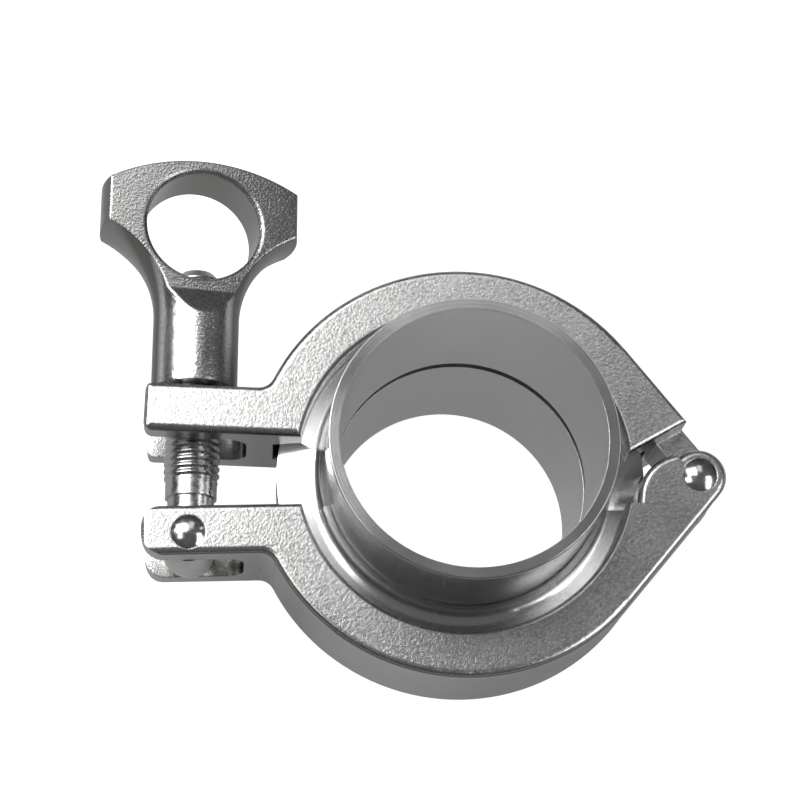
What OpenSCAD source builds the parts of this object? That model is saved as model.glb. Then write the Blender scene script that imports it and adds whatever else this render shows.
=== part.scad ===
// Clamped pipe union: two flanged ferrules with a gasket between them, held by a hinged two-jaw clamp.
// The pipe axis is Z, with the lower ferrule's weld end at z = 0. Millimetres.
// The hinge is on the +X side, and the eye bolt with its wing nut is on the -X side.

/* [Ferrules and gasket] */
// Outside diameter of the tube end
tube_od = 38; // [37:0.5:39]
// Wall of the tube end
tube_wall = 1.5; // [1.2:0.1:2]
// Height of a ferrule, from its face to its weld end
ferrule_h = 21.5; // [18:0.5:30]
// Outside diameter of the flanges
flange_od = 50.5; // [50:0.25:51.5]
// Thickness of a flange at its rim
rim_t = 2.85; // [2.4:0.05:3.2]
// Taper of the flange backs and of the clamp groove, in degrees
flank_angle = 20; // [16:1:22]
// Fillet between the flange back and the tube
hub_fillet = 2.2; // [1:0.1:2.6]
// Thickness of the gasket between the faces
gasket_t = 1.5; // [1:0.1:2.2]
// Distance of the gasket's bead from the flange rim
bead_inset = 3.45; // [3.2:0.05:4]
// Radius of the half-round gasket bead
bead_r = 1.2; // [0.8:0.1:1.4]

/* [Clamp jaws] */
// Width of the clamp along the pipe
clamp_w = 16.5; // [15.5:0.25:18]
// How far the groove lips reach in over the flanges
lip_depth = 2.75; // [2:0.05:3]
// Room between the flange rims and the groove bottom
groove_room = 0.9; // [0.5:0.1:1.4]
// Wall of the ring outside the groove
ring_wall = 2.55; // [2:0.05:3.5]
// Rounding of the outer edges
edge_r = 0.9; // [0.4:0.1:1.2]
// Chamfer of the lip edges
lip_chamfer = 0.55; // [0.3:0.05:0.8]

/* [Forked arms] */
// Reach of the arms beyond the ring
arm_reach = 14.8; // [13:0.2:18]
// Thickness of an arm
arm_t = 6.75; // [6:0.25:8]
// Width of the slot between the tines
slot_w = 9.4; // [8.8:0.1:10]
// Metal left between the ring and the closed end of a slot
slot_web = 0.75; // [0.5:0.05:1.5]
// Distance of the upper arm's inner face from the axis
upper_arm_y = 3.55; // [3:0.05:4.5]
// Distance of the lower arm's inner face from the axis
lower_arm_y = 4.5; // [4:0.05:5]
// Lean of the upper arm, in degrees
upper_lean = 1.3; // [0:0.1:2]
// Lean of the lower arm, in degrees
lower_lean = 2.2; // [0:0.1:3]
// Fillet between an arm and the ring
arm_fillet = 2.2; // [1:0.1:3]
// Corner radius at the end of the upper arm
upper_end_r = 1.2; // [1:0.1:3]
// Corner radius at the end of the lower arm
lower_end_r = 3; // [1:0.1:3]

/* [Hinge] */
// Distance of the hinge axis from the ring's outer face
hinge_out = 3.5; // [3.2:0.1:5]
// Height of the hinge axis above the split line
hinge_y = -0.4; // [-1:0.1:0]
// Radius of the two ears
ear_r = 3.7; // [3.4:0.05:4]
// Radius of the shoulder behind the ears
shoulder_r = 7; // [6:0.25:7.5]
// Distance of the shoulder's centre from the hinge axis, towards the ring
shoulder_in = 1.6; // [1.2:0.1:2]
// Distance of the shoulder's centre below the hinge axis
shoulder_drop = 3.8; // [3.4:0.1:4.2]
// Width of the tongue between the ears
tongue_w = 8; // [7:0.25:9]
// Thickness of the tongue's neck
neck_t = 4.2; // [3.5:0.1:5]
// Slope of the upper jaw's end face above the hinge, in degrees
end_slope = 30; // [26:1:34]
// Distance of that end face from the hinge axis
end_gap = 7.4; // [6.8:0.1:8]
// Diameter of both pins
pin_d = 4.5; // [4:0.1:4.8]
// Height of the domed pin ends
pin_dome_h = 0.7; // [0.4:0.1:1]

/* [Eye bolt] */
// Distance of the bolt axis from the ring's outer face
bolt_out = 8.2; // [7.8:0.1:9]
// Height of the bolt's pivot, below the split line
pivot_y = -9.7; // [-10.2:0.1:-9]
// Radius of the bolt's eye
eye_r = 3.95; // [3.6:0.05:4.2]
// Diameter of the plain shank
shank_d = 6.4; // [6:0.1:7]
// Mean diameter of the thread
thread_d = 7.1; // [6.6:0.1:7.6]
// Height of the lower end of the thread
thread_y = -3; // [-5:0.5:0]
// Height of the bolt's tip
tip_y = 30; // [29.5:0.5:32]

/* [Wing nut] */
// Height of the nut's seat face
nut_y = 12.6; // [12.4:0.1:13.5]
// Diameter of the nut's barrel
barrel_d = 12; // [11.5:0.1:13]
// Width across the wings
wing_w = 28; // [26:0.5:30]
// Height of the nut, from its seat to the crest of the wings
nut_h = 33.5; // [32:0.5:36]
// Thickness of the flat wings
wing_t = 8.5; // [7.5:0.25:9]
// Diameter of the finger hole
finger_d = 16; // [15:0.5:17]
// Height of the finger hole's centre above the seat
finger_h = 23.5; // [23:0.5:25]
// Length of the barrel's neck below the finger hole
neck_l = 5.2; // [4.5:0.1:6]
// Distance of the wings' lower corners below the finger hole's centre
wing_drop = 2.4; // [1.5:0.1:3]
// Radius of the flare from the barrel to the wings
flare_r = 14; // [12:0.5:16]
// Radius of the curved crest
crest_r = 27; // [24:1:32]
// Turn of the wings about the bolt, in degrees
nut_turn = 11; // [0:1:30]

/* [Clearances] */
// Gap between a pin and its hole
pin_gap = 0.05; // [0.03:0.01:0.08]
// Gap between the groove flanks and the flange backs
flank_gap = 0.1; // [0.06:0.02:0.2]
// Gap on each side of the tongue and of the bolt's eye
side_gap = 0.25; // [0.15:0.05:0.35]
// Gap between the bolt and the nut's bore
thread_gap = 0.05; // [0.03:0.01:0.1]
// Gap round the gasket's bead and inside its bore
gasket_gap = 0.1; // [0.05:0.05:0.2]

/* [Hidden] */
$fn = 72;

tube_r = tube_od / 2;
bore_r = tube_r - tube_wall;
flange_r = flange_od / 2;
mid_z = ferrule_h + gasket_t / 2;
bead_ring_r = flange_r - bead_inset;
rim_chamfer = 0.3;
weld_chamfer = 0.15;

lip_r = flange_r - lip_depth;
groove_r = flange_r + groove_room;
ring_r = groove_r + ring_wall;
half_w = clamp_w / 2;

arm_end = ring_r + arm_reach;
slot_end = ring_r + slot_web;
slot_corner_r = 2.5;
// Lean of the cut that ends the upper jaw's ring inside its arm, and clear of the end face above the hinge
ring_cut_lean = 7.4;

hinge_x = ring_r + hinge_out;
// The flat outer face of the hinge side runs along the ring and the ears, which stand a little proud of it
flat_sink = 0.06;
flat_edge_r = edge_r - 0.25;
flat_depth = ring_r - lip_r - 1;
tongue_r = ear_r - flat_sink;
hinge_d = norm([hinge_x, hinge_y]);
hinge_lean = atan2(hinge_y, hinge_x);
tangent_angle = acos((ring_r - ear_r) / hinge_d);
flat_l = hinge_d * sin(tangent_angle);
lower_flat_l = 0.6 * flat_l;
shoulder_x = hinge_x - shoulder_in;
shoulder_y = hinge_y - shoulder_drop;
// Depth from the flat face that takes in the whole shoulder
fill_depth = ring_r - bore_r;

bolt_x = -ring_r - bolt_out;
pin_r = pin_d / 2;
eye_w = slot_w - 2 * side_gap;
tip_chamfer = 1.3;

barrel_r = barrel_d / 2;
wing_r = wing_w / 2;
finger_r = finger_d / 2;
finger_chamfer = 0.5;
// The barrel flares out to the wings between these heights above the seat
flare_low = finger_h - finger_r - neck_l;
flare_high = finger_h - wing_drop;

// Height of a flange's back above the weld end, at radius r
function back_z(r) = ferrule_h - rim_t - (flange_r - r) * tan(flank_angle);
// Half the width of the clamp groove at radius r
function groove_half(r) = gasket_t / 2 + rim_t + (flange_r - r) * tan(flank_angle) + flank_gap / cos(flank_angle);

// A flat disc of the clamp's width with rounded rims
module round_disc(r) {
    rotate_extrude() {
        translate([0, -half_w]) square([r - edge_r, clamp_w]);
        translate([0, edge_r - half_w]) square([r, clamp_w - 2 * edge_r]);
        for (side = [-1, 1]) translate([r - edge_r, side * (half_w - edge_r)]) circle(edge_r);
    }
}

// A rectangle from the origin to [w, 0] and half of h to each side, with round corners
module round_rect(w, h, r) {
    translate([r, -h / 2]) square([w - 2 * r, h]);
    translate([0, r - h / 2]) square([w, h - 2 * r]);
    for (x = [r, w - r], y = [r - h / 2, h / 2 - r]) translate([x, y]) circle(r);
}

// A bar of the clamp's width along +X, with its faces at y = 0 and y = height and long edges rounded by r
module round_bar(length, height, r) {
    rotate([90, 0, 90]) linear_extrude(length) round_rect(height, clamp_w, r);
}

// A forked arm that points to -X, with its inner face at y = 0
module arm_blank(end_r) {
    arm_l = arm_end - lip_r + 2;
    intersection() {
        translate([-arm_end, 0, 0]) round_bar(arm_l, arm_t, edge_r);
        translate([-arm_end, arm_t + 1, 0]) rotate([90, 0, 0])
            linear_extrude(arm_t + 2) round_rect(arm_l + 5, clamp_w, edge_r);
        translate([-arm_end, arm_t / 2, 0])
            linear_extrude(clamp_w + 2, center = true) round_rect(arm_l + 5, arm_t, end_r);
    }
}

// The slot between an arm's tines, cut through in Y
module arm_slot(height) {
    slot_l = arm_end - slot_end + slot_w;
    translate([-slot_end - slot_l, height, 0]) rotate([90, 0, 0])
        linear_extrude(2 * height) round_rect(slot_l, slot_w, slot_corner_r);
}

// The web that fills the corner between an arm's outer face and the ring with a fillet
module arm_web(outer_y) {
    cy = outer_y + arm_fillet;
    cx = -sqrt(pow(ring_r + arm_fillet, 2) - cy * cy);
    touch = [cx, cy] * ring_r / (ring_r + arm_fillet);
    linear_extrude(clamp_w - 2 * edge_r, center = true) difference() {
        polygon([[cx, outer_y - 1], [cx, outer_y], [cx, cy], touch, touch * 0.95, [touch[0] * 0.95, outer_y - 1]]);
        translate([cx, cy]) circle(arm_fillet);
    }
}

// The metal inside the flat face that runs from the ring to the hinge, over a length from the ring
// side is 1 for the upper jaw and -1 for the lower jaw
module flat_bar(side, length, depth) {
    mirror([0, side > 0 ? 0 : 1, 0]) rotate([0, 0, tangent_angle - 90 + side * hinge_lean])
        translate([0, ring_r - flat_sink - depth, 0]) round_bar(length, depth, flat_edge_r);
}

// The bore through the lips, with a chamfer at both ends
module lip_bore() {
    wide_r = lip_r + lip_chamfer + 1;
    rotate_extrude()
        polygon([[0, -half_w - 1], [wide_r, -half_w - 1], [lip_r, lip_chamfer - half_w],
            [lip_r, half_w - lip_chamfer], [wide_r, half_w + 1], [0, half_w + 1]]);
}

// The tapered groove that draws the two flanges together
module clamp_groove() {
    inner_r = lip_r - 3;
    rotate_extrude()
        polygon([[inner_r, -groove_half(inner_r)], [groove_r, -groove_half(groove_r)],
            [groove_r, groove_half(groove_r)], [inner_r, groove_half(inner_r)]]);
}

// A pin or hole along Z
module pin_hole(x, y) {
    translate([x, y, 0]) cylinder(h = clamp_w + 2, r = pin_r + pin_gap, center = true);
}

// A ferrule with its weld end at z = 0 and its face at the top
module ferrule() {
    fillet_r = tube_r + hub_fillet;
    fillet_z = back_z(fillet_r) - hub_fillet / cos(flank_angle);
    touch_r = fillet_r - hub_fillet * sin(flank_angle);
    rotate_extrude() difference() {
        polygon([[bore_r, 0], [tube_r - weld_chamfer, 0], [tube_r, weld_chamfer], [tube_r, fillet_z],
            [fillet_r, fillet_z], [touch_r, back_z(touch_r)], [flange_r, back_z(flange_r)],
            [flange_r, ferrule_h - rim_chamfer], [flange_r - rim_chamfer, ferrule_h], [bore_r, ferrule_h]]);
        translate([fillet_r, fillet_z]) circle(hub_fillet);
        translate([bead_ring_r, ferrule_h]) circle(bead_r + gasket_gap);
    }
}

// A riveted pin along Z with domed ends
module pin(x, y) {
    dome_r = (pin_r * pin_r + pin_dome_h * pin_dome_h) / (2 * pin_dome_h);
    translate([x, y, mid_z]) {
        cylinder(h = clamp_w, r = pin_r, center = true);
        for (side = [0, 1]) mirror([0, 0, side]) translate([0, 0, half_w]) intersection() {
            translate([0, 0, pin_dome_h - dome_r]) sphere(dome_r);
            cylinder(h = pin_dome_h + 1, r = pin_r);
        }
    }
}

module lower_ferrule() color("gainsboro") ferrule();

module upper_ferrule() color("gainsboro") translate([0, 0, 2 * mid_z]) mirror([0, 0, 1]) ferrule();

module gasket() {
    inner_r = bore_r + gasket_gap;
    color([0.1, 0.1, 0.1]) translate([0, 0, ferrule_h]) rotate_extrude() {
        translate([inner_r, 0]) square([flange_r - rim_chamfer - inner_r, gasket_t]);
        for (z = [0, gasket_t]) translate([bead_ring_r, z]) circle(bead_r);
    }
}

module upper_jaw() {
    end_x = hinge_x - end_gap * sin(end_slope);
    end_y = hinge_y + end_gap * cos(end_slope);
    color("silver") translate([0, 0, mid_z]) difference() {
        union() {
            intersection() {
                union() {
                    round_disc(ring_r);
                    flat_bar(1, flat_l, flat_depth);
                }
                rotate([0, 0, -ring_cut_lean]) translate([-arm_end, upper_arm_y, -half_w - 1])
                    cube([2 * arm_end, 2 * arm_end, clamp_w + 2]);
                translate([end_x, end_y, 0]) rotate([0, 0, end_slope])
                    translate([-2 * arm_end, 0, 0]) round_bar(3 * arm_end, 2 * ring_r, flat_edge_r);
            }
            rotate([0, 0, -upper_lean]) translate([0, upper_arm_y, 0]) arm_blank(upper_end_r);
            rotate([0, 0, -upper_lean]) arm_web(upper_arm_y + arm_t);
            tongue();
        }
        lip_bore();
        clamp_groove();
        arm_slot(arm_end);
        pin_hole(hinge_x, hinge_y);
    }
}

// The tongue of the upper jaw, from its end face down to the eye round the hinge pin
module tongue() {
    linear_extrude(tongue_w, center = true) {
        rotate(tangent_angle - 90 + hinge_lean) translate([flat_l / 2, ring_r - flat_sink - neck_t])
            square([flat_l / 2, neck_t]);
        translate([hinge_x, hinge_y]) circle(tongue_r);
    }
}

module lower_jaw() {
    color("silver") translate([0, 0, mid_z]) difference() {
        union() {
            intersection() {
                round_disc(ring_r);
                rotate([0, 0, lower_lean]) translate([-arm_end, -lower_arm_y - edge_r - 2 * arm_end, -half_w - 1])
                    cube([2 * arm_end, 2 * arm_end, clamp_w + 2]);
            }
            rotate([0, 0, lower_lean]) mirror([0, 1, 0]) {
                translate([0, lower_arm_y, 0]) arm_blank(lower_end_r);
                arm_web(lower_arm_y + arm_t);
            }
            flat_bar(-1, lower_flat_l, flat_depth);
            translate([hinge_x, hinge_y, 0]) rotate([0, 0, 135]) round_disc(ear_r);
            intersection() {
                translate([shoulder_x, shoulder_y, 0]) round_disc(shoulder_r);
                flat_bar(-1, flat_l, fill_depth);
            }
        }
        lip_bore();
        clamp_groove();
        arm_slot(arm_end);
        tongue_room();
        pin_hole(hinge_x, hinge_y);
        pin_hole(bolt_x, pivot_y);
    }
}

// The space between the ears in which the tongue turns
module tongue_room() {
    room_r = tongue_r + 2 * side_gap;
    linear_extrude(tongue_w + 2 * side_gap, center = true) {
        translate([hinge_x, hinge_y]) circle(room_r);
        translate([bore_r, hinge_y]) square([arm_end, arm_end]);
    }
}

module hinge_pin() color("lightgray") pin(hinge_x, hinge_y);

module bolt_pivot_pin() color("lightgray") pin(bolt_x, pivot_y);

module eye_bolt() {
    crown_r = 3 * eye_r;
    color("lightgray") translate([bolt_x, pivot_y, mid_z]) difference() {
        union() {
            rotate_extrude() intersection() {
                translate([0, -eye_w / 2]) square([eye_r, eye_w]);
                translate([eye_r - crown_r, 0]) circle(crown_r);
            }
            rotate([-90, 0, 0]) rotate_extrude()
                polygon([[0, 0], [shank_d / 2, 0], [shank_d / 2, thread_y - pivot_y],
                    [thread_d / 2, thread_y - pivot_y], [thread_d / 2, tip_y - pivot_y - tip_chamfer],
                    [thread_d / 2 - tip_chamfer, tip_y - pivot_y], [0, tip_y - pivot_y]]);
        }
        cylinder(h = clamp_w, r = pin_r + pin_gap, center = true);
    }
}

// The wing nut stands on its seat at the origin with its bore along Z and its wings along X
module wing_nut_upright() {
    difference() {
        intersection() {
            rotate_extrude() intersection() {
                difference() {
                    square([wing_r, nut_h]);
                    translate([barrel_r, -1]) square([wing_r, flare_low + 1]);
                    translate([barrel_r + flare_r, flare_low]) circle(flare_r);
                    translate([barrel_r + flare_r, -1]) square([wing_r, flare_high]);
                }
                translate([0, nut_h - crest_r]) circle(crest_r);
            }
            wing_flats();
        }
        translate([0, 0, -1]) cylinder(h = finger_h, d = thread_d + 2 * thread_gap);
        translate([0, 0, finger_h]) rotate([90, 0, 0]) {
            cylinder(h = barrel_d + 2, r = finger_r, center = true);
            for (side = [0, 1]) mirror([0, 0, side]) translate([0, 0, wing_t / 2 - finger_chamfer])
                cylinder(h = finger_chamfer + 0.1, r1 = finger_r, r2 = finger_r + finger_chamfer + 0.1);
        }
    }
}

// The two flat sides of the wings, which spread to the barrel's full width below
module wing_flats() {
    spread_low = flare_low - 0.6;
    spread_high = flare_low + 3.5;
    rotate([90, 0, 90]) linear_extrude(2 * wing_w, center = true)
        polygon([[-barrel_r, -1], [barrel_r, -1], [barrel_r, spread_low], [wing_t / 2, spread_high],
            [wing_t / 2, nut_h + 1], [-wing_t / 2, nut_h + 1], [-wing_t / 2, spread_high], [-barrel_r, spread_low]]);
}

module wing_nut() {
    color("silver") translate([bolt_x, nut_y, mid_z]) rotate([-90, 0, 0]) rotate([0, 0, nut_turn]) wing_nut_upright();
}

lower_ferrule();
upper_ferrule();
gasket();
lower_jaw();
upper_jaw();
hinge_pin();
bolt_pivot_pin();
eye_bolt();
wing_nut();
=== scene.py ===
# %% [markdown]
# This scene dresses a clamped pipe union: two flanged ferrules with a gasket between them, drawn
# together by a cast two-jaw clamp with a hinge, an eye bolt and a wing nut that ends in a finger
# ring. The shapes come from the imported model. What is made here is the finish of each piece, the
# thread of the bolt, two small corner fills, and the studio: camera, floor, room and lights.

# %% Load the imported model
import math

import bmesh
import bpy
from mathutils import Matrix, Vector


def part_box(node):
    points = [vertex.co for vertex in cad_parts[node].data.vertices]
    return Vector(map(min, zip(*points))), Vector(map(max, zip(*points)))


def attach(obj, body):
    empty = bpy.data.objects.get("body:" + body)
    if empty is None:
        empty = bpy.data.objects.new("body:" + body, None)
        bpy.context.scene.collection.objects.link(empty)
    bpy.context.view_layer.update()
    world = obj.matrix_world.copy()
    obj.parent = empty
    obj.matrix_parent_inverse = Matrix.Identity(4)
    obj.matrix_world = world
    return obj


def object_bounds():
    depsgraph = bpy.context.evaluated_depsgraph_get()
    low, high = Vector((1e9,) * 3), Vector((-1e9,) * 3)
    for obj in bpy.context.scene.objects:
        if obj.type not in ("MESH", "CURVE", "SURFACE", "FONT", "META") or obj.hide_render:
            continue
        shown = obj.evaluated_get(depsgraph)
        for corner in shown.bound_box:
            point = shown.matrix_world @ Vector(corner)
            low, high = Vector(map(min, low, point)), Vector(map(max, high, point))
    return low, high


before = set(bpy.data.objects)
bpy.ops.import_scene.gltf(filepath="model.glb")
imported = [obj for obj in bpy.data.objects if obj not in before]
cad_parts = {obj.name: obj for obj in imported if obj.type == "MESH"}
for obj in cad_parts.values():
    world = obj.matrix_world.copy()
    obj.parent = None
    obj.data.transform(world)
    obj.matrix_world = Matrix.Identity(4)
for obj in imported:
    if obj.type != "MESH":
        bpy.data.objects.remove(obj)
cad_box = [list(corner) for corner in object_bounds()]
MM = 0.001


def in_mm(box):
    """A box's two corners in millimetres, rounded for printing."""
    return [[round(value / MM, 1) for value in corner] for corner in box]


print("box of the solids in mm:", in_mm(cad_box))

# %% [markdown]
# The photograph looks down on the clamp from about 71 degrees above the floor, a little from the
# left and slightly rolled, from about a third of a metre away. A camera can be aimed with angles
# or at a target, but a rolled view is written most plainly as three directions: right, up and
# backwards. They are the columns of its rotation. The same few lines aim the lamps later on.

# %% Placing and aiming


def new_object(name, data):
    """An object in the scene that holds a mesh, a light or a camera."""
    thing = bpy.data.objects.new(name, data)
    bpy.context.collection.objects.link(thing)
    return thing


def aimed_matrix(place, look, right_hint):
    """The matrix of a camera or lamp from its place, the way it looks and roughly its right."""
    right = (right_hint - look * right_hint.dot(look)).normalized()
    up = right.cross(look)
    turn = Matrix((right, up, -look)).transposed()
    return Matrix.Translation(place) @ turn.to_4x4()


# %% [markdown]
# Focal length and distance together set how much the near end of the tube grows against the clamp
# behind it. A long lens from far away would make both the same. The photograph shows the near end
# clearly larger, so the camera stands close. Its place and lens were worked out from the ellipses
# that the round edges make in the picture. The plain view transform keeps white white.

# %% Camera
IMAGE_PX = 800
FOCAL_PX = 2250
SENSOR_MM = 36.0
CAMERA_PLACE = Vector((-29.1, -88.4, 320.0)) * MM
CAMERA_LOOK = Vector((0.0665, 0.3192, -0.9454)).normalized()
CAMERA_RIGHT = Vector((0.99753, 0.0, 0.0702))

camera_data = bpy.data.cameras.new("photo_camera")
camera_data.sensor_width = SENSOR_MM
camera_data.lens = FOCAL_PX / IMAGE_PX * SENSOR_MM
camera = new_object("photo_camera", camera_data)
camera.matrix_world = aimed_matrix(CAMERA_PLACE, CAMERA_LOOK, CAMERA_RIGHT)
bpy.context.scene.camera = camera
bpy.context.scene.view_settings.view_transform = "Standard"
print("lens in mm:", round(camera_data.lens, 2))

# %% [markdown]
# The floor is a plain pale sheet that the lower ferrule stands on. A small plate would show its
# edges as soon as the view turns, so the sheet is far wider than any view needs.

# %% Floor sheet
FLOOR_HALF = 3.0
floor_z = cad_box[0][2]
floor_corners = [(-1, -1), (1, -1), (1, 1), (-1, 1)]

floor_mesh = bpy.data.meshes.new("floor")
floor_mesh.from_pydata(
    [(x * FLOOR_HALF, y * FLOOR_HALF, floor_z) for x, y in floor_corners], [], [(0, 1, 2, 3)])
floor = new_object("floor", floor_mesh)
print("floor at z =", round(floor_z, 5), "and", 2 * FLOOR_HALF, "m wide")

# %% [markdown]
# In the photograph the ground burns out to white, while the steel mirrors a calm grey. A very
# bright floor would give the first and spoil the second. So the sheet glows a little for
# everything, and more for the picture alone, as a light table does when the part is shielded from
# its light. A range node turns the "is this the camera's ray" signal into the two strengths.

# %% Floor finish
FLOOR_GREY = 0.4
FLOOR_ROUGH = 0.9
FLOOR_GLOSS = 0.1
GLOW_MIRRORED = 0.17
GLOW_SEEN = 0.95
WHITE = (1, 1, 1, 1)


def make_floor_finish():
    """A matt pale sheet that glows white in the picture and grey in reflections."""
    sheet = bpy.data.materials.new("white_sheet")
    sheet.use_nodes = True
    nodes, links = sheet.node_tree.nodes, sheet.node_tree.links
    shader = nodes["Principled BSDF"]
    shader.inputs["Base Color"].default_value = (FLOOR_GREY, FLOOR_GREY, FLOOR_GREY, 1)
    shader.inputs["Roughness"].default_value = FLOOR_ROUGH
    shader.inputs["Specular IOR Level"].default_value = FLOOR_GLOSS
    shader.inputs["Emission Color"].default_value = WHITE
    glow = nodes.new("ShaderNodeMapRange")
    glow.inputs["To Min"].default_value = GLOW_MIRRORED
    glow.inputs["To Max"].default_value = GLOW_SEEN
    ray = nodes.new("ShaderNodeLightPath")
    links.new(ray.outputs["Is Camera Ray"], glow.inputs["Value"])
    links.new(glow.outputs["Result"], shader.inputs["Emission Strength"])
    return sheet


floor_mesh.materials.append(make_floor_finish())
print("floor glows", GLOW_SEEN, "in the picture and", GLOW_MIRRORED, "in reflections")

# %% [markdown]
# Bright steel shows its surroundings more than itself, so the studio is most of its look. An even
# white room makes steel look like plaster. This room is nearly dark towards the horizon, which
# draws a thin dark line along every rounded edge, and a little lighter overhead. On the castings
# that dark line is also painted into the colour, as a painted dark reflection.

# %% Room
ROOM_HORIZON = 0.035
ROOM_TOP = 0.11
ROOM_TOP_FROM = 0.95


def make_room():
    """World light that grows from the horizon to the top."""
    world = bpy.data.worlds.new("room")
    world.use_nodes = True
    nodes, links = world.node_tree.nodes, world.node_tree.links
    nodes["Background"].inputs["Color"].default_value = WHITE
    way = nodes.new("ShaderNodeTexCoord")
    parts = nodes.new("ShaderNodeSeparateXYZ")
    rise = nodes.new("ShaderNodeMapRange")
    rise.inputs["From Max"].default_value = ROOM_TOP_FROM
    rise.inputs["To Min"].default_value = ROOM_HORIZON
    rise.inputs["To Max"].default_value = ROOM_TOP
    links.new(way.outputs["Generated"], parts.inputs["Vector"])
    links.new(parts.outputs["Z"], rise.inputs["Value"])
    links.new(rise.outputs["Result"], nodes["Background"].inputs["Strength"])
    return world


bpy.context.scene.world = make_room()
print("room strength:", ROOM_HORIZON, "at the horizon,", ROOM_TOP, "overhead")

# %% [markdown]
# The lamps are plain soft panels, placed where the steel mirrors them. The large one over the left
# and the back makes the left arms glare white, and its glare fades across the ring to the hinge.
# The dim one at the back keeps the top of the ring grey. One on the right and one on the left side
# light the flange and the rounded edges there, and a small strong one puts a spark on the domes.

# %% Lamps
CLAMP_MIDDLE = Vector((0.0, 0.0, 0.022))


def soft_panel(name, place, size, radiance):
    """A rectangular lamp aimed at the clamp; radiance is how bright its face looks."""
    light = bpy.data.lights.new(name, "AREA")
    light.shape = "RECTANGLE"
    light.size, light.size_y = size
    light.energy = radiance * math.pi * size[0] * size[1]
    lamp = new_object(name, light)
    look = (CLAMP_MIDDLE - Vector(place)).normalized()
    lamp.matrix_world = aimed_matrix(Vector(place), look, Vector((1, 0, 0)))
    print(name, "in watts:", round(light.energy, 2))


soft_panel("panel_left", (-0.37, 0.34, 0.72), (0.64, 0.46), 4.6)
soft_panel("panel_back", (0.13, 0.58, 0.80), (0.28, 0.44), 0.8)
soft_panel("panel_right", (0.56, -0.20, 0.60), (0.30, 0.60), 3.4)
soft_panel("panel_side", (-0.50, -0.10, 0.78), (0.24, 0.30), 2.4)
soft_panel("spark_left", (-0.55, 0.25, 0.55), (0.10, 0.10), 24)

# %% [markdown]
# Every finish starts from the same standard shader. Nodes can be placed by hand, but six finishes
# would then repeat the same steps, so a small class holds a material while it is being built. Its
# patterns use the piece's own coordinates, in metres: they stay put when the piece moves, and a
# scale of 1000 gives marks a millimetre apart.

# %% A finish under way


class Finish:
    """A material while it is being built: its nodes, its shader and the piece's coordinates."""

    def __init__(self, name, metallic):
        self.material = bpy.data.materials.new(name)
        self.material.use_nodes = True
        self.tree = self.material.node_tree
        self.shader = self.tree.nodes["Principled BSDF"]
        self.shader.inputs["Metallic"].default_value = metallic
        self.place = self.add("ShaderNodeTexCoord").outputs["Object"]

    def add(self, kind, sockets=()):
        """Adds a node of a kind and fills its sockets."""
        node = self.tree.nodes.new(kind)
        self.fill(node, sockets)
        return node

    def fill(self, node, sockets):
        """Fills sockets, each from another node's output or with a number or colour."""
        for key, value in dict(sockets).items():
            if isinstance(value, bpy.types.NodeSocket):
                self.tree.links.new(value, node.inputs[key])
            else:
                node.inputs[key].default_value = value

    def done(self, colour, roughness, normal):
        """Joins the results to the shader and gives the material."""
        self.fill(self.shader, {"Base Color": colour, "Roughness": roughness, "Normal": normal})
        return self.material


def dress(node, material):
    """Gives one CAD node a finish in every material slot."""
    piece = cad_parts[node]
    if not piece.material_slots:
        piece.data.materials.append(material)
    for held in piece.material_slots:
        held.material = material
    print(node, "wears", material.name)


# %% [markdown]
# Metal that looks real is never even. Noise gives each finish its marks, a range node picks the
# part of the noise that matters, and a mix node turns that into colour. Most of a noise lies
# between 0.3 and 0.7, so that is the range stretched most often. The mix node's colour sockets are
# called by number, because several of its sockets share a name.

# %% Marks
MIDDLE = (0.3, 0.7)
SHARE = (0.0, 1.0)
MIX_SHARE, MIX_FIRST, MIX_SECOND, MIX_RESULT = 0, 6, 7, 2


def noise(finish, scale, detail, place=None):
    """Noise with about `scale` marks to the metre."""
    sockets = {"Vector": place or finish.place, "Scale": scale, "Detail": detail}
    return finish.add("ShaderNodeTexNoise", sockets).outputs["Fac"]


def span(finish, value, within, onto):
    """Maps a value from one range onto another and clamps it there."""
    sockets = {"Value": value, "From Min": within[0], "From Max": within[1],
               "To Min": onto[0], "To Max": onto[1]}
    return finish.add("ShaderNodeMapRange", sockets).outputs["Result"]


def calc(finish, operation, first, second=0.0):
    """Arithmetic between two values, each an output or a number."""
    node = finish.add("ShaderNodeMath", {0: first, 1: second})
    node.operation = operation
    return node.outputs[0]


def blend(finish, share, first, second):
    """The first colour where the share is 0 and the second where it is 1."""
    node = finish.add("ShaderNodeMix")
    node.data_type = "RGBA"
    colours = [(*colour, 1) if isinstance(colour, tuple) else colour for colour in (first, second)]
    finish.fill(node, {MIX_SHARE: share, MIX_FIRST: colours[0], MIX_SECOND: colours[1]})
    return node.outputs[MIX_RESULT]


# %% [markdown]
# Fine relief could be cut into the mesh, at a cost of millions of faces. A bump node tilts the
# light instead. A bevel node does the same for edges: it shades a sharp edge as if it were broken
# by a small radius, as tumbling and blasting leave it.

# %% Relief
BEVEL_SAMPLES = 4


def bump(finish, height, depth, normal=None):
    """Relief of a given depth in metres, on top of other relief if there is some."""
    node = finish.add("ShaderNodeBump", {"Height": height, "Distance": depth})
    if normal:
        finish.fill(node, {"Normal": normal})
    return node.outputs["Normal"]


def soft_edges(finish, radius):
    """Normals as if every sharp edge were broken by this radius."""
    node = finish.add("ShaderNodeBevel", {"Radius": radius})
    node.samples = BEVEL_SAMPLES
    return node.outputs["Normal"]
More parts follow.
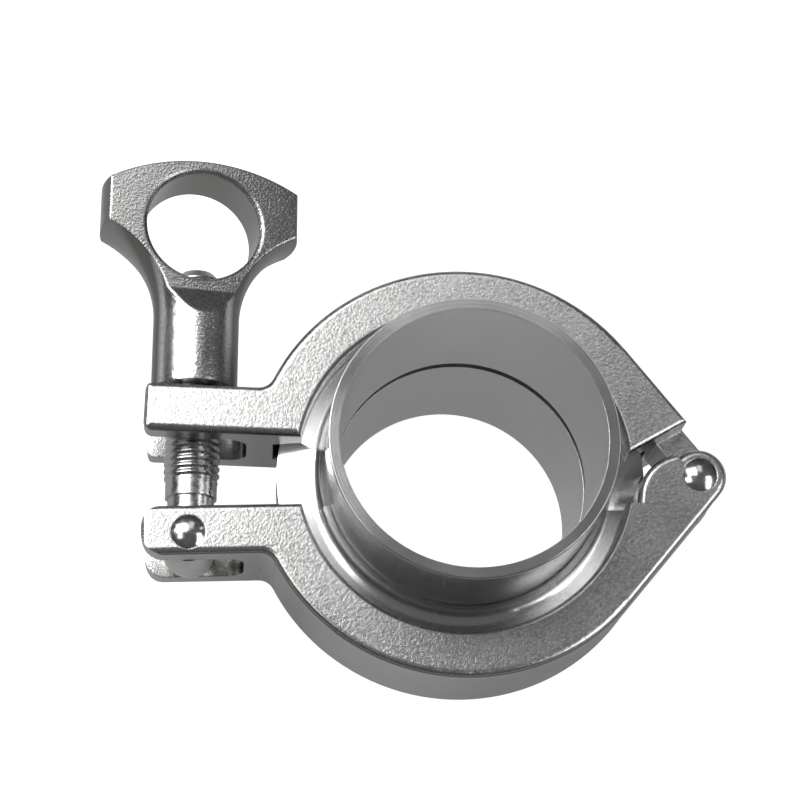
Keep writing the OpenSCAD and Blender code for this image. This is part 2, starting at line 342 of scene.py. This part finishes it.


# %% [markdown]
# On a casting, flat faces, walls and rounded edges are one mesh, and here they are coloured apart:
# the walls darker as painted shade, the rounded edges darker still as a painted dark reflection.
# They can be told apart by the height part of the normal: 1 on the flat faces, 0 on the walls and
# between the two on rounded edges. Every hinge here turns about the pipe's direction and the nut
# only slides, so that number never changes when the clamp opens.

# %% Faces, walls and edges
NOT_A_WALL = (0.1, 0.5)
EDGE_BEGINS = (0.1, 0.3)
EDGE_ENDS = (0.5, 0.68)
# Painted dark reflection: the colour that the castings' rounded edges are darkened to.
EDGE_PAINTED_DARK_REFLECTION = (0.16, 0.155, 0.15)


def facing(finish):
    """How squarely the surface faces along the pipe: 1 on the flat faces, 0 on the walls."""
    shape = finish.add("ShaderNodeNewGeometry")
    parts = finish.add("ShaderNodeSeparateXYZ", {"Vector": shape.outputs["Normal"]})
    return calc(finish, "ABSOLUTE", parts.outputs["Z"])


def rounding(finish):
    """1 along the rounded edges, 0 on the flat faces and on the walls."""
    square = facing(finish)
    begins = span(finish, square, EDGE_BEGINS, SHARE)
    ends = span(finish, square, EDGE_ENDS, (1.0, 0.0))
    return calc(finish, "MULTIPLY", begins, ends)


def cast_colour(finish, front, wall):
    """A casting's colour: one for its faces, a darker one for its walls as painted shade, and
    rounded edges darkened as a painted dark reflection.
    """
    # The walls get a darker colour here, as painted shade.
    metal = blend(finish, span(finish, facing(finish), NOT_A_WALL, SHARE), wall, front)
    # The rounded edges are darkened here as a painted dark reflection.
    return blend(finish, rounding(finish), metal, EDGE_PAINTED_DARK_REFLECTION)


# %% [markdown]
# The jaws are investment castings that were blasted with beads. Their flat faces are covered in
# round grains a third of a millimetre wide, while the outer walls are smoother. One noise gives
# the grains and a finer one roughens them. The pits between the grains are a little darker, and a
# slow noise makes some patches duller than others.

# %% Cast steel
GRAIN = 2900
FINE_GRAIN = 2.6 * GRAIN
FINE_SHARE = 0.4
CAST_PATCHES = 160
CAST_FLAT = (0.6, 0.98)
CAST_RELIEF = (0.06, 1.0)
CAST_ROUGH = (0.24, 0.28)
CAST_DEPTH = 0.024 * MM
CAST_EDGE_R = 0.3 * MM
CAST_PIT = (0.58, 0.575, 0.565)
CAST_GRAIN = (0.76, 0.755, 0.745)
# Painted shade: the colour of the jaws' walls, darker than their faces.
CAST_WALL_PAINTED_SHADE = (0.44, 0.435, 0.43)
PITS = (0.3, 0.6)


def make_cast_steel():
    """Bead-blasted stainless casting."""
    cast = Finish("cast_steel", metallic=1.0)
    grain = noise(cast, GRAIN, detail=1.0)
    fine = noise(cast, FINE_GRAIN, detail=2.0)
    height = calc(cast, "ADD", grain, calc(cast, "MULTIPLY", fine, FINE_SHARE))
    relief = calc(cast, "MULTIPLY", height, span(cast, facing(cast), CAST_FLAT, CAST_RELIEF))
    front = blend(cast, span(cast, grain, PITS, SHARE), CAST_PIT, CAST_GRAIN)
    rough = span(cast, noise(cast, CAST_PATCHES, detail=3.0), MIDDLE, CAST_ROUGH)
    normal = bump(cast, relief, CAST_DEPTH, soft_edges(cast, CAST_EDGE_R))
    return cast.done(cast_colour(cast, front, CAST_WALL_PAINTED_SHADE), rough, normal)


cast_steel = make_cast_steel()
for jaw in ("lower_jaw", "upper_jaw"):
    dress(jaw, cast_steel)

# %% [markdown]
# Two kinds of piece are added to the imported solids: corner fills and a thread. Each is a row of
# outlines with the same number of points, joined one to the next by a band of faces and closed at
# the two ends. That makes one watertight mesh, with no stray face left over.

# %% Pieces from outlines


def joined_outlines(name, outlines, material, smooth_sides=()):
    """One closed piece from a row of outlines; the sides named are shaded smooth."""
    mesh = bmesh.new()
    rings = [[mesh.verts.new(point) for point in outline] for outline in outlines]
    for ring, after in zip(rings, rings[1:]):
        for side in range(len(ring)):
            end = (side + 1) % len(ring)
            face = mesh.faces.new((ring[side], ring[end], after[end], after[side]))
            face.smooth = side in smooth_sides
    mesh.faces.new(rings[0][::-1])
    mesh.faces.new(rings[-1])
    bmesh.ops.recalc_face_normals(mesh, faces=mesh.faces)
    data = bpy.data.meshes.new(name)
    mesh.to_mesh(data)
    mesh.free()
    data.materials.append(material)
    print(name, "faces:", len(data.polygons))
    return new_object(name, data)


# %% [markdown]
# Where each arm leaves the ring, a casting never has a sharp inner corner: the metal would crack
# there as it cools. The solids fill that corner, but stop a little below the front and back faces.
# A rounding modifier can't add metal in one corner only, so this fill brings the hollow arc up to
# the faces. Its outline is that arc, tangent to arm and ring, and three buried points inside them.

# %% Outline of a corner fill
RING_R = 28.7 * MM
FILLET_R = 2.2 * MM
PROUD = 0.02 * MM
BURIED = 1.0 * MM
INSIDE_RING = 0.95
ARC_STEPS = 24
BURIED_POINTS = 3


def fill_outline(outer_y, inset):
    """The fill's outline beside an arm whose outer wall lies at outer_y, moved in by an inset."""
    centre_y = outer_y + FILLET_R
    centre_x = -math.sqrt((RING_R + FILLET_R) ** 2 - centre_y ** 2)
    share = RING_R / (RING_R + FILLET_R) * INSIDE_RING
    points = [(centre_x, outer_y - BURIED), (centre_x * share, outer_y - BURIED),
              (centre_x * share, centre_y * share)]
    radius = FILLET_R - PROUD + inset
    at_ring, at_arm = math.atan2(-centre_y, -centre_x), -math.pi / 2
    for step in range(ARC_STEPS + 1):
        angle = at_ring + (at_arm - at_ring) * step / ARC_STEPS
        points.append((centre_x + radius * math.cos(angle), centre_y + radius * math.sin(angle)))
    return points


# %% [markdown]
# The arms have rounded edges, so the fill needs them too: near each face its outlines step inwards
# along a quarter circle. It ends a hundredth of a millimetre below the faces, because two faces in
# the same plane would flicker. The lower arm is the upper one mirrored, and both lean a little.

# %% Corner fills
FILL_EDGE_R = 0.9 * MM
SUNK = 0.01 * MM
EDGE_STEPS = 6
FILL_ARC_SIDES = range(BURIED_POINTS, BURIED_POINTS + ARC_STEPS)
CORNERS = (
    ("upper_corner_fill", "top_jaw", 10.3 * MM, 1, math.radians(-1.3)),
    ("lower_corner_fill", "base", 11.25 * MM, -1, math.radians(2.2)),
)

jaw_low, jaw_high = (Vector(corner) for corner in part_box("upper_jaw"))


def fill_levels():
    """Height and inset of every outline, from the back face to the front face."""
    turns = [math.pi / 2 * step / EDGE_STEPS for step in range(EDGE_STEPS + 1)]
    levels = [(FILL_EDGE_R * (1 - math.cos(turn)), FILL_EDGE_R * (1 - math.sin(turn)))
              for turn in turns]
    back = [(jaw_low.z + SUNK + depth, inset) for depth, inset in levels]
    front = [(jaw_high.z - SUNK - depth, inset) for depth, inset in reversed(levels)]
    return back + front


def on_arm(x, y, side, lean):
    """A point of the upper arm moved to the arm on a side, 1 or -1, that leans by an angle."""
    y = side * y
    return x * math.cos(lean) - y * math.sin(lean), x * math.sin(lean) + y * math.cos(lean)


for name, body, outer_y, side, lean in CORNERS:
    outlines = [[(*on_arm(x, y, side, lean), z) for x, y in fill_outline(outer_y, inset)]
                for z, inset in fill_levels()]
    corner_fill = joined_outlines(name, outlines, cast_steel, FILL_ARC_SIDES)
    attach(corner_fill, body)

# %% [markdown]
# The ferrules are turned and polished. A lathe leaves fine rings round the axis. An ordinary noise
# has no direction, so this one is given the radius and the height in place of x, y and z: it then
# changes along the tube and across the flange, and not at all round the axis.

# %% Turned steel
LATHE_RINGS = 3800
LATHE_DEPTH = 0.004 * MM
TURNED_CLOUDS = 90
TURNED_ROUGH = (0.14, 0.22)
TURNED_EDGE_R = 0.12 * MM
TURNED_DARK = (0.8, 0.8, 0.815)
TURNED_LIGHT = (0.9, 0.9, 0.91)


def turned_place(finish):
    """Coordinates in which noise becomes rings round the pipe's axis: radius and height."""
    parts = finish.add("ShaderNodeSeparateXYZ", {"Vector": finish.place})
    x, y, height = (parts.outputs[axis] for axis in "XYZ")
    squares = calc(finish, "ADD", calc(finish, "MULTIPLY", x, x), calc(finish, "MULTIPLY", y, y))
    radius = calc(finish, "SQRT", squares)
    return finish.add("ShaderNodeCombineXYZ", {"X": radius, "Y": height}).outputs[0]


def make_turned_steel():
    """Polished lathe-turned stainless with faint rings."""
    turned = Finish("turned_steel", metallic=1.0)
    rings = noise(turned, LATHE_RINGS, detail=3.0, place=turned_place(turned))
    cloud = noise(turned, TURNED_CLOUDS, detail=3.0)
    colour = blend(turned, cloud, TURNED_DARK, TURNED_LIGHT)
    normal = bump(turned, rings, LATHE_DEPTH, soft_edges(turned, TURNED_EDGE_R))
    return turned.done(colour, span(turned, cloud, MIDDLE, TURNED_ROUGH), normal)


turned_steel = make_turned_steel()
for ferrule in ("lower_ferrule", "upper_ferrule"):
    dress(ferrule, turned_steel)

# %% [markdown]
# The gasket is a black rubber ring between the flanges. Only its edge shows, as a thin dark line
# in the bore. Rubber is no metal, so its metallic value is 0, and it is rough where steel is
# smooth. A soft bloom keeps the black from being flat.

# %% Gasket rubber
BLOOM = 700
BLOOM_DEPTH = 0.02 * MM
RUBBER_ROUGH = (0.5, 0.7)
RUBBER_DARK = (0.012, 0.012, 0.013)
RUBBER_LIGHT = (0.03, 0.03, 0.032)


def make_rubber():
    """Matt black rubber with a soft bloom."""
    rubber = Finish("gasket_rubber", metallic=0.0)
    bloom = noise(rubber, BLOOM, detail=4.0)
    colour = blend(rubber, bloom, RUBBER_DARK, RUBBER_LIGHT)
    rough = span(rubber, bloom, MIDDLE, RUBBER_ROUGH)
    return rubber.done(colour, rough, bump(rubber, bloom, BLOOM_DEPTH))


dress("gasket", make_rubber())

# %% [markdown]
# The hinge pin and the bolt's pin are riveted over into domes. Hammering polishes them and leaves
# shallow dimples, which break up the lamps that they mirror.

# %% Pin steel
DIMPLES = 900
DIMPLE_DEPTH = 0.03 * MM
PIN_ROUGH = (0.12, 0.24)
PIN_DARK = (0.6, 0.6, 0.6)
PIN_LIGHT = (0.78, 0.78, 0.78)


def make_pin_steel():
    """Polished pin ends with faint hammer dimples."""
    pin = Finish("pin_steel", metallic=1.0)
    dimples = noise(pin, DIMPLES, detail=1.0)
    colour = blend(pin, dimples, PIN_DARK, PIN_LIGHT)
    rough = span(pin, dimples, MIDDLE, PIN_ROUGH)
    return pin.done(colour, rough, bump(pin, dimples, DIMPLE_DEPTH))


pin_steel = make_pin_steel()
for pin_node in ("hinge_pin", "bolt_pivot_pin"):
    dress(pin_node, pin_steel)

# %% [markdown]
# The eye bolt is machined from bar. It is a little darker than the castings, with faint smears
# about a millimetre across where a hand or a spanner has been.

# %% Bolt steel
SMEARS = 1200
SMEAR_DEPTH = 0.012 * MM
BOLT_ROUGH = (0.2, 0.34)
BOLT_EDGE_R = 0.15 * MM
BOLT_DARK = (0.42, 0.42, 0.415)
BOLT_LIGHT = (0.62, 0.62, 0.61)


def make_bolt_steel():
    """Machined stainless, a little darker than the castings."""
    bolt = Finish("bolt_steel", metallic=1.0)
    smear = noise(bolt, SMEARS, detail=3.0)
    colour = blend(bolt, smear, BOLT_DARK, BOLT_LIGHT)
    normal = bump(bolt, smear, SMEAR_DEPTH, soft_edges(bolt, BOLT_EDGE_R))
    return bolt.done(colour, span(bolt, smear, MIDDLE, BOLT_ROUGH), normal)


bolt_steel = make_bolt_steel()
dress("eye_bolt", bolt_steel)

# %% [markdown]
# The solids leave the thread plain, as a cylinder at its mean size. A real thread is one ridge
# that winds up the bolt, so it is made as one strip of faces along a helix, not as a stack of
# rings. At both ends the ridge sinks into the cylinder over a turn, the way a thread runs out.

# %% Thread of the bolt
PITCH = 1.0 * MM
MEAN_R = 3.55 * MM
CREST_R = 3.85 * MM
ROOT_SUNK = 0.06 * MM
ROOT_HALF = 0.52 * PITCH
CREST_HALF = 0.1 * PITCH
THREAD_START_Y = -0.9 * MM
THREAD_TIP_GAP = 1.2 * MM
STEPS_A_TURN = 48

bolt_low, bolt_high = (Vector(corner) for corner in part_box("eye_bolt"))
bolt_axis_x = (bolt_low.x + bolt_high.x) / 2
bolt_axis_z = (bolt_low.z + bolt_high.z) / 2


def ridge_section(share):
    """The ridge's outline at a share of its full height: radius and offset along the bolt."""
    crest = MEAN_R + (CREST_R - MEAN_R) * share
    root = MEAN_R - ROOT_SUNK
    return [(root, -ROOT_HALF), (crest, -CREST_HALF), (crest, CREST_HALF), (root, ROOT_HALF)]


def thread_outlines(start_y, end_y):
    """The ridge's outlines along a helix from start_y to end_y."""
    steps = int((end_y - start_y) / PITCH * STEPS_A_TURN)
    for step in range(steps + 1):
        angle = 2 * math.pi * step / STEPS_A_TURN
        y = start_y + PITCH * step / STEPS_A_TURN
        share = min(1.0, step / STEPS_A_TURN, (steps - step) / STEPS_A_TURN)
        yield [(bolt_axis_x + radius * math.sin(angle), y + rise,
                bolt_axis_z + radius * math.cos(angle)) for radius, rise in ridge_section(share)]


ridge = thread_outlines(THREAD_START_Y, bolt_high.y - THREAD_TIP_GAP)
thread = joined_outlines("bolt_thread", ridge, bolt_steel)
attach(thread, "bolt")

# %% [markdown]
# The wing nut is the same kind of casting as the jaws, with smoother walls. Its faces are painted
# brighter than the jaws' as painted light, and its walls painted darker as painted shade. Its flat
# face isn't quite flat: it is crowned by a third of a millimetre, so the left wing mirrors the
# large lamp and the right wing the dark behind it. Relief from a parabola across the nut gives
# that, and the grain lies on top of it.

# %% Nut steel
NUT_GRAIN = GRAIN * 1.1
NUT_PATCHES = 140
NUT_FLAT = (0.4, 0.9)
NUT_RELIEF = (0.2, 1.0)
NUT_ROUGH = (0.16, 0.27)
NUT_DEPTH = 0.045 * MM
NUT_EDGE_R = 0.5 * MM
NUT_HALF = 12.5 * MM
NUT_CROWN = 0.34 * MM
NUT_PIT = (0.6, 0.595, 0.585)
# Painted light: the nut's light grain tone, brighter than the same tone on the jaws.
NUT_GRAIN_AND_PAINTED_LIGHT = (0.86, 0.855, 0.845)
# Painted shade: the colour of the nut's walls, darker than its faces.
NUT_WALL_PAINTED_SHADE = (0.3, 0.297, 0.29)


def crowned(finish, axis_x, half, depth, normal):
    """Relief that falls away by a depth from the middle of a piece to its two sides."""
    parts = finish.add("ShaderNodeSeparateXYZ", {"Vector": finish.place})
    from_axis = calc(finish, "SUBTRACT", parts.outputs["X"], axis_x)
    across = calc(finish, "MULTIPLY", from_axis, 1 / half)
    crown = calc(finish, "SUBTRACT", 1.0, calc(finish, "MULTIPLY", across, across))
    return bump(finish, crown, depth, normal)


def make_nut_steel():
    """Bead-blasted casting with a crowned face and a close grain."""
    nut = Finish("nut_steel", metallic=1.0)
    grain = noise(nut, NUT_GRAIN, detail=1.0)
    # The light grain tone here is painted brighter than the jaws', as painted light.
    front = blend(nut, span(nut, grain, PITS, SHARE), NUT_PIT, NUT_GRAIN_AND_PAINTED_LIGHT)
    relief = calc(nut, "MULTIPLY", grain, span(nut, facing(nut), NUT_FLAT, NUT_RELIEF))
    rough = span(nut, noise(nut, NUT_PATCHES, detail=3.0), MIDDLE, NUT_ROUGH)
    face = crowned(nut, bolt_axis_x, NUT_HALF, NUT_CROWN, soft_edges(nut, NUT_EDGE_R))
    normal = bump(nut, relief, NUT_DEPTH, face)
    return nut.done(cast_colour(nut, front, NUT_WALL_PAINTED_SHADE), rough, normal)


dress("wing_nut", make_nut_steel())
